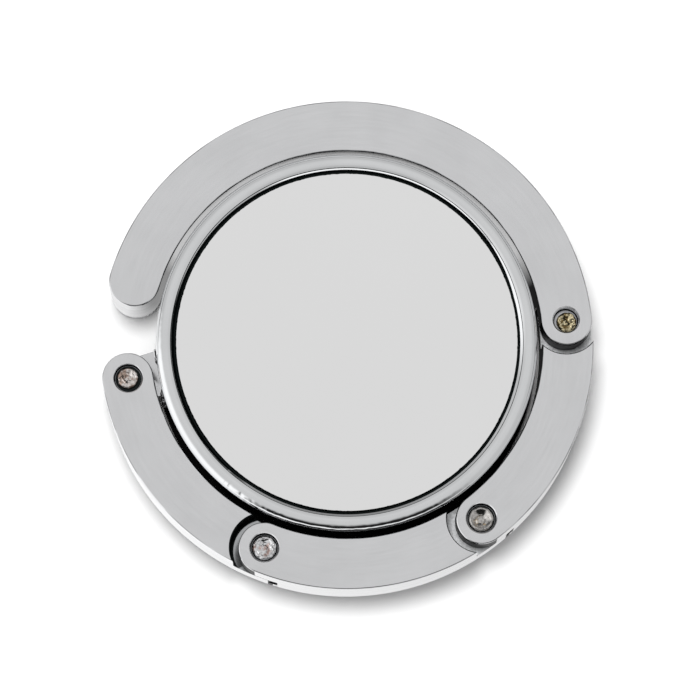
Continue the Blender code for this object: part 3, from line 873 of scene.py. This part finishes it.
def makeGlass():
    low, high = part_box("mirror_glass")
    radius, edge = high.x + glass["reach"], glass["edge"]
    line = roundedLine([
        (0, high.z, 0),
        (radius - edge, high.z, 0),
        (radius, high.z - edge, 0),
        (radius, low.z + edge, 0),
        (radius - edge, low.z, 0),
        (0, low.z, 0),
    ])
    piece = turnedPiece("mirror_glass_look", line, steps=720)
    outside, inside = [radius - edge * share for share in glass["chipBand"]]
    for vertex in piece.data.vertices:  # small chips along the ground edge
        spot = vertex.co
        if inside < math.hypot(spot.x, spot.y) < outside:
            chip = max(0.0, noise.noise(spot / glass["chipSize"]) - glass["chipFrom"])
            share = 1 - glass["chipDepth"] * chip
            spot.x *= share
            spot.y *= share
    finishPiece(piece, "disc", ["mirror_glass"], [silvered, gapShadowBlack], glass["sharpAngle"])
    # painted shade: the glass's ground edge is black, which shows as a dark band round the mirror
    darkenFaces(piece, lambda face: face.normal.z < 0.99)


pad = {"edge": 0.25 * mm}


def makePad():
    low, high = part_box("base_pad")
    radius, edge = high.x, pad["edge"]
    line = roundedLine([(0, high.z, 0), (radius, high.z, edge), (radius, low.z, edge), (0, low.z, 0)])
    piece = turnedPiece("base_pad_look", line, steps=160)
    finishPiece(piece, "disc", ["base_pad"], [padRubber])


makeDrum()
makeBezel()
makeGlass()
makePad()
print("disc made")


# knuckle

knuckle = {
    "tipSide": 2.2 * mm,
    "linkSide": 1.6 * mm,
    "flare": 0.4 * mm,
    "flareShare": 0.8,  # of the neck's length
    "flangeIn": 16.9 * mm,
    "flangeOut": 17.4 * mm,
    "flangeRadius": 2.7 * mm,
    "neckStart": 17.1 * mm,
    "neckEdge": 0.05 * mm,
    "edge": 0.1 * mm,
    "stud": 0.9 * mm,
    "groove": 0.65 * mm,
    "grooveOut": 12.38 * mm,
    "grooveIn": 11.87 * mm,
    "studEnd": 11.4 * mm,
    "studEdge": 0.2 * mm,
}


def makeNeck(pivot, top, bottom):
    # joins the lug to the flange, and widens toward the disc on the side of the tip
    start = knuckle["neckStart"]
    length = Vector((pivot.x, pivot.y)).length - start
    sideways = (knuckle["linkSide"] - knuckle["tipSide"]) / 2
    along = Vector((-swivelOut.y, swivelOut.x, 0))
    place = upright(swivelOut * (start + length / 2) + along * sideways, (top + bottom) / 2)
    neck = addBlock(place, (length, knuckle["linkSide"] + knuckle["tipSide"], top - bottom), swivelAngle)
    bpy.ops.object.mode_set(mode="EDIT")
    bpy.ops.mesh.select_all(action="SELECT")
    bpy.ops.mesh.bevel(offset=knuckle["neckEdge"], segments=2)
    bpy.ops.object.mode_set(mode="OBJECT")
    for vertex in neck.data.vertices:
        if vertex.co.dot(along) < 0:
            share = (vertex.co.dot(swivelOut) - start) / (length * knuckle["flareShare"])
            vertex.co -= along * knuckle["flare"] * max(0.0, 1 - share)
    return neck


def makeKnuckle():
    pivot, half, edge = pivots[0], ring["half"], knuckle["edge"]
    top, bottom = ring["tongueTop"], ring["bottom"]
    line = roundedLine([(0, top, 0), (half, top, edge), (half, bottom, edge), (0, bottom, 0)])
    lug = turnedPiece("swivel_knuckle_look", line, upright(pivot, 0), steps=120)
    applyBoolean(lug, makeNeck(pivot, top, bottom), "UNION")
    line = roundedLine([
        (0, knuckle["flangeOut"], 0),
        (knuckle["flangeRadius"], knuckle["flangeOut"], edge),
        (knuckle["flangeRadius"], knuckle["flangeIn"], edge),
        (knuckle["stud"], knuckle["flangeIn"], 0),
        (knuckle["stud"], knuckle["grooveOut"], 0),
        (knuckle["groove"], knuckle["grooveOut"], 0),
        (knuckle["groove"], knuckle["grooveIn"], 0),
        (knuckle["stud"], knuckle["grooveIn"], 0),
        (knuckle["stud"], knuckle["studEnd"], knuckle["studEdge"]),
        (0, knuckle["studEnd"], 0),
    ])
    applyBoolean(lug, turnedPiece("stud", line, Vector((0, 0, ring["middle"])), over, swivelOut), "UNION")
    applyBoolean(lug, tongueCutter(pivot, counterbores[0]["fillet"]), "DIFFERENCE")
    finishPiece(lug, "knuckle", ["swivel_knuckle"], [discPlating])


makeKnuckle()
print("knuckle made")


# rivets and washers

rivets = [  # dished heads with an off-centre bump, each struck a little differently
    {"head": 0.95 * mm, "rise": 0.44 * mm, "dish": 0.15 * mm, "bump": 0.4 * mm, "bumpRise": 0.16 * mm,
     "off": (-0.1, -0.1), "shift": (-0.05, 0.05), "rough": 0.03, "seed": 3.0, "slot": "rivet_steel",
     "plating": (0.85, 0.8, 0.77), "core": (0.5, 0.38, 0.32), "share": 0.5, "crack": 0.012},
    {"head": 1.1 * mm, "rise": 0.44 * mm, "dish": 0.2 * mm, "bump": 0.55 * mm, "bumpRise": 0.24 * mm,
     "off": (-0.14, -0.16), "shift": (0.0, -0.04), "rough": 0.07, "seed": 8.0, "slot": "rivet_steel",
     "plating": (0.8, 0.8, 0.81), "core": (0.6, 0.44, 0.4), "share": 0.42, "crack": 0.016},
    {"head": 1.14 * mm, "rise": 0.44 * mm, "dish": 0.41 * mm, "bump": 0.5 * mm, "bumpRise": 0.4 * mm,
     "off": (-0.1, -0.1), "shift": (-0.02, -0.06), "rough": 0.012, "seed": 12.0, "slot": "rivet_steel",
     "plating": (0.56, 0.54, 0.52), "core": (0.55, 0.4, 0.2), "share": 0.36, "crack": 0.004},
    {"head": 0.9 * mm, "rise": 0.38 * mm, "dish": 0.12 * mm, "bump": 0.34 * mm, "bumpRise": 0.18 * mm,
     "off": (-0.14, -0.06), "shift": (0.08, -0.12), "rough": 0.12, "seed": 21.0, "slot": "rivet_brass",
     "plating": (0.85, 0.74, 0.48), "core": (0.3, 0.22, 0.1), "share": 0.48, "crack": 0.04},
]
stack = {
    "gap": 0.05 * mm,
    "washer": 0.2 * mm,
    "washerEdge": 0.04 * mm,
    "washerOutside": 0.08 * mm,
    "washerInside": 0.1 * mm,
    "shank": 0.65 * mm,
    "foot": 1.1 * mm,
    "footHeight": 0.45 * mm,
    "footEdge": 0.12 * mm,
    "collarEdge": 0.06 * mm,
    "headEdge": 0.04 * mm,
}
strike = {
    "steps": 30,
    "dishShare": 0.8,  # of the head's radius, past which the rim rounds off
    "fallShare": 0.35,  # of the head's rise
    "start": 0.1 * mm,
    "shiftStart": 0.01 * mm,
    "bumpPower": 0.7,
    "fineSize": 0.13 * mm,
    "fineShare": 0.4,
    "roughSize": 0.3 * mm,
    "wander": 0.04,
    "sharpAngle": 50,
}
pinBodies = ["knuckle"] + linkNames[:3]


def crownLine(spec, rim):
    # from the middle over the dish to the rounded rim
    head, dishShare = spec["head"], strike["dishShare"]
    line = []
    for step in range(strike["steps"] + 1):
        out = head * step / strike["steps"]
        dish = spec["dish"] * (1 - min(1.0, out / (head * dishShare)) ** 2)
        fall = spec["rise"] * strike["fallShare"] * max(0.0, (out / head - dishShare) / (1 - dishShare)) ** 2
        line.append(Vector((out, rim - dish - fall)))
    return line


def strikeHead(piece, spec, pivot, seat):
    # the bump, the dents and the uneven rim, with the whole head a little to one side
    for vertex in piece.data.vertices:
        spot = vertex.co
        if spot.z > seat + strike["start"]:
            flat = Vector((spot.x, spot.y, 0))
            away = Vector((spot.x - pivot.x, spot.y - pivot.y))
            fromBump = (away - Vector(spec["off"]) * mm).length / spec["bump"]
            if fromBump < 1:
                spot.z += spec["bumpRise"] * math.cos(fromBump * math.pi / 2) ** strike["bumpPower"]
            fine = noise.noise(flat / strike["fineSize"] + Vector((spec["seed"], 0, 0)))
            coarse = noise.noise(flat / strike["roughSize"] + Vector((0, spec["seed"], 0)))
            spot.z += (coarse + fine * strike["fineShare"]) * spec["rough"] * mm
            if away.length > spec["head"] * strike["dishShare"]:
                spot.xy = Vector((pivot.x, pivot.y)) + away * (1 + coarse * strike["wander"])
        if spot.z > seat - strike["shiftStart"]:
            spot.xy += Vector(spec["shift"]) * mm


def makeRivet(index):
    spec, bore, pivot = rivets[index], counterbores[index], pivots[index]
    seat = ring["top"] - bore["depth"] + stack["gap"] * 2 + stack["washer"]
    foot = ring["bottom"] + stack["gap"]
    collar, rim = foot + stack["footHeight"], seat + spec["rise"]
    lower = roundedLine([
        (spec["head"], rim - spec["rise"] * strike["fallShare"], 0),
        (spec["head"], seat, stack["headEdge"]),
        (stack["shank"], seat, 0),
        (stack["shank"], collar, 0),
        (stack["foot"], collar, stack["collarEdge"]),
        (stack["foot"], foot, stack["footEdge"]),
        (0, foot, 0),
    ], 3)[1:]
    node, finish = "pivot_pin_%d" % (index + 1), "rivet%d" % (index + 1)
    piece = turnedPiece(node + "_look", crownLine(spec, rim) + lower, upright(pivot, 0), steps=72)
    strikeHead(piece, spec, pivot, seat)
    material = rivetMaterial(finish, spec["plating"], spec["core"], spec["share"], spec["crack"])
    finishPiece(piece, pinBodies[index], [node], [material], strike["sharpAngle"])


def makePivotWasher(index):
    bore, node = counterbores[index], "pivot_washer_%d" % (index + 1)
    bottom = ring["top"] - bore["depth"] + stack["gap"]
    top, edge = bottom + stack["washer"], stack["washerEdge"]
    outer, inner = bore["radius"] - stack["washerOutside"], stack["shank"] + stack["washerInside"]
    corners = [(outer, top, edge), (outer, bottom, edge), (inner, bottom, edge), (inner, top, edge)]
    line = roundedLine(corners, 2, True)
    piece = turnedPiece(node + "_look", line, upright(pivots[index], 0), steps=72, closed=True)
    finishPiece(piece, pinBodies[index], [node], [washerSteel, recessShadowBlack])
    if pinBodies[index] != "far_link":  # the last washer's top stays plated; the others get a painted shadow, black
        darkenFaces(piece, lambda face: face.normal.z > 0.95)


for index in range(len(rivets)):
    makeRivet(index)
    makePivotWasher(index)
print("rivets made")

for name, material in (
    ("mirror_adhesive", foamTape),
    ("pad_adhesive", foamTape),
    ("base_plate", plateSteel),
    ("swivel_washer", washerSteel),
    ("swivel_clip", washerSteel),
):
    node = frame["nodes"][name]
    node.data.materials.clear()
    node.data.materials.append(material)


# studio: floor, world, lamp and camera

black = (0.01, 0.014, 0.013)
studio = {  # lobes are (middle direction, half width, soft edge, radiance), in degrees round the horizon
    "overhead": 0.7,
    "slant": 0.1,
    "middleTop": (0.7, 0.96),
    "lowTop": (0.09, 0.2),
    "middle": {"rest": 0.6, "lobes": [(267, 44, 16, 0.02), (200, 34, 14, 1.2)]},
    "low": {"rest": black, "lobes": [(95, 40, 30, 0.2), (324, 26, 14, 0.5), (235, 65, 12, 1.2)]},
    "thrown": 0.2,
    "floorSize": 3.0,
    "floorCamera": 0.92,
    "floorColor": 0.8,
    "glowSpan": (-22 * mm, 22 * mm),
    "glow": (1.1, 0.74),
    # painted shadow: inside this span round the disc the floor is black
    "discShadowSpan": (17.38 * mm, 17.56 * mm),
    "discShadowShares": (0.01, 1.0),
    "underSpan": (17.7 * mm, 18.4 * mm),
    "underShares": (0.02, 1.0),
    "tipSpan": (-20.6 * mm, -16.8 * mm),
    "tipGlow": (0.9, 0.3),
    "tipSides": ((-15.5 * mm, -15.2 * mm), (1.4 * mm, 1.8 * mm)),
    "armSpan": (6.0 * mm, 9.0 * mm),
    "armGlow": 0.62,
    "keyPower": 3.1,
    "keySize": 0.2,
    "keyPlace": Vector((-0.055, 0.078, 0.64)),
}


def lobe(tree, turn, middle, halfWidth, soft):
    # 1 within halfWidth of the middle direction round the horizon, 0 outside, with soft ends, in degrees
    away = mathNode(tree, "SUBTRACT", turn, math.radians(middle))
    away = mathNode(tree, "ARCTAN2", mathNode(tree, "SINE", away), mathNode(tree, "COSINE", away))
    span = (math.radians(halfWidth - soft / 2), math.radians(halfWidth + soft / 2))
    return rangeNode(tree, mathNode(tree, "ABSOLUTE", away), span, 1.0, 0.0)


def glossyOnly(tree, path):
    # 1 for what metal and glass show to the camera, not for light that they throw on the floor
    firsthand = mathNode(tree, "LESS_THAN", path.outputs["Diffuse Depth"], 0.5)
    return product(tree, path.outputs["Is Glossy Ray"], firsthand)


def makeWorld():
    # three bands from the horizon up: low, middle and overhead
    world = bpy.data.worlds.new("studioWorld")
    bpy.context.scene.world = world
    world.use_nodes = True
    tree = world.node_tree
    x, y, z = splitNode(tree, tree.nodes.new("ShaderNodeTexCoord").outputs["Generated"])
    turn = mathNode(tree, "ARCTAN2", y, x)
    bands = []
    for band in (studio["low"], studio["middle"]):
        color = band["rest"]
        for middle, halfWidth, soft, value in band["lobes"]:
            color = mixColor(tree, lobe(tree, turn, middle, halfWidth, soft), color, value)
        bands.append(color)
    sides = mixColor(tree, rangeNode(tree, z, studio["lowTop"], 0.0, 1.0), *bands)
    overhead = mathNode(tree, "ADD", product(tree, y, studio["slant"]), studio["overhead"])
    sky = mixColor(tree, rangeNode(tree, z, studio["middleTop"], 0.0, 1.0), sides, overhead)
    path = tree.nodes.new("ShaderNodeLightPath")
    thrown = mathNode(tree, "SUBTRACT", path.outputs["Is Glossy Ray"], glossyOnly(tree, path))
    seen = mixColor(tree, thrown, sky, studio["thrown"])
    seen = mixColor(tree, path.outputs["Is Camera Ray"], seen, 1.0)
    tree.links.new(seen, tree.nodes["Background"].inputs["Color"])


def floorGlow(tree, x, y, out):
    # what metal sees of the floor: brighter to the left, dark by the disc, with its own values by tip and arm
    glow = rangeNode(tree, x, studio["glowSpan"], *studio["glow"])
    glow = product(tree, glow, rangeNode(tree, out, studio["underSpan"], *studio["underShares"]))
    tipGlow = rangeNode(tree, x, studio["tipSpan"], *studio["tipGlow"])
    leftOf = rangeNode(tree, x, studio["tipSides"][0], 1.0, 0.0)
    above = rangeNode(tree, y, studio["tipSides"][1], 0.0, 1.0)
    change = product(tree, product(tree, leftOf, above), mathNode(tree, "SUBTRACT", tipGlow, glow))
    glow = mathNode(tree, "ADD", glow, change)
    besideArm = rangeNode(tree, y, studio["armSpan"], 0.0, studio["armGlow"])
    return mathNode(tree, "MAXIMUM", glow, besideArm)


def makeFloor():
    # the camera sees a white floor with the object's shadow, and a painted shadow, black, under the disc's
    # edge; metal sees a plain one that glows
    clearSelection()
    bpy.ops.mesh.primitive_plane_add(size=studio["floorSize"])
    floor = bpy.context.object
    floor.name = "floor"
    material, tree, shader = newMaterial("paleFloor", {})
    tree.nodes.remove(shader)
    place = objectPlace(tree)
    x, y, z = splitNode(tree, place)
    out = lengthNode(tree, place)
    path = tree.nodes.new("ShaderNodeLightPath")
    direct = mathNode(tree, "MAXIMUM", path.outputs["Is Camera Ray"], path.outputs["Is Transmission Ray"])
    color = mixColor(tree, direct, studio["floorColor"], studio["floorCamera"])
    diffuse = tree.nodes.new("ShaderNodeBsdfDiffuse")
    # painted shadow: the floor is black out to just past the disc's edge, so that the gap round the disc
    # shows dark
    around = rangeNode(tree, out, studio["discShadowSpan"], *studio["discShadowShares"])
    tree.links.new(mixColor(tree, around, 0.0, color), diffuse.inputs["Color"])
    emission = tree.nodes.new("ShaderNodeEmission")
    tree.links.new(floorGlow(tree, x, y, out), emission.inputs["Strength"])
    shown = tree.nodes.new("ShaderNodeMixShader")
    tree.links.new(glossyOnly(tree, path), shown.inputs[0])
    tree.links.new(diffuse.outputs[0], shown.inputs[1])
    tree.links.new(emission.outputs[0], shown.inputs[2])
    tree.links.new(shown.outputs[0], tree.nodes["Material Output"].inputs["Surface"])
    floor.data.materials.append(material)


def makeLamp():
    clearSelection()
    bpy.ops.object.light_add(type="AREA", location=studio["keyPlace"])
    lamp = bpy.context.object
    lamp.name = "keyLamp"
    lamp.data.shape = "DISK"
    lamp.data.size = studio["keySize"]
    lamp.data.energy = studio["keyPower"]
    lamp.rotation_euler = (-studio["keyPlace"]).to_track_quat("-Z", "Y").to_euler()
    lamp.visible_glossy = False
    lamp.visible_camera = False


camera = {
    "place": Vector((-5.0, -66.0, 420.0)) * mm,
    "turn": [math.radians(angle) for angle in (9.003, -0.687, -0.3)],
    "lens": 237.37,
    "sensor": 36,
    "clip": (0.01, 10),
}


def makeCamera():
    clearSelection()
    bpy.ops.object.camera_add(location=camera["place"], rotation=camera["turn"])
    eye = bpy.context.object
    eye.data.lens = camera["lens"]
    eye.data.sensor_width = camera["sensor"]
    eye.data.clip_start, eye.data.clip_end = camera["clip"]
    bpy.context.scene.camera = eye


makeWorld()
makeFloor()
makeLamp()
makeCamera()
bpy.context.scene.view_settings.view_transform = "Standard"
print("studio made")

clearSelection()
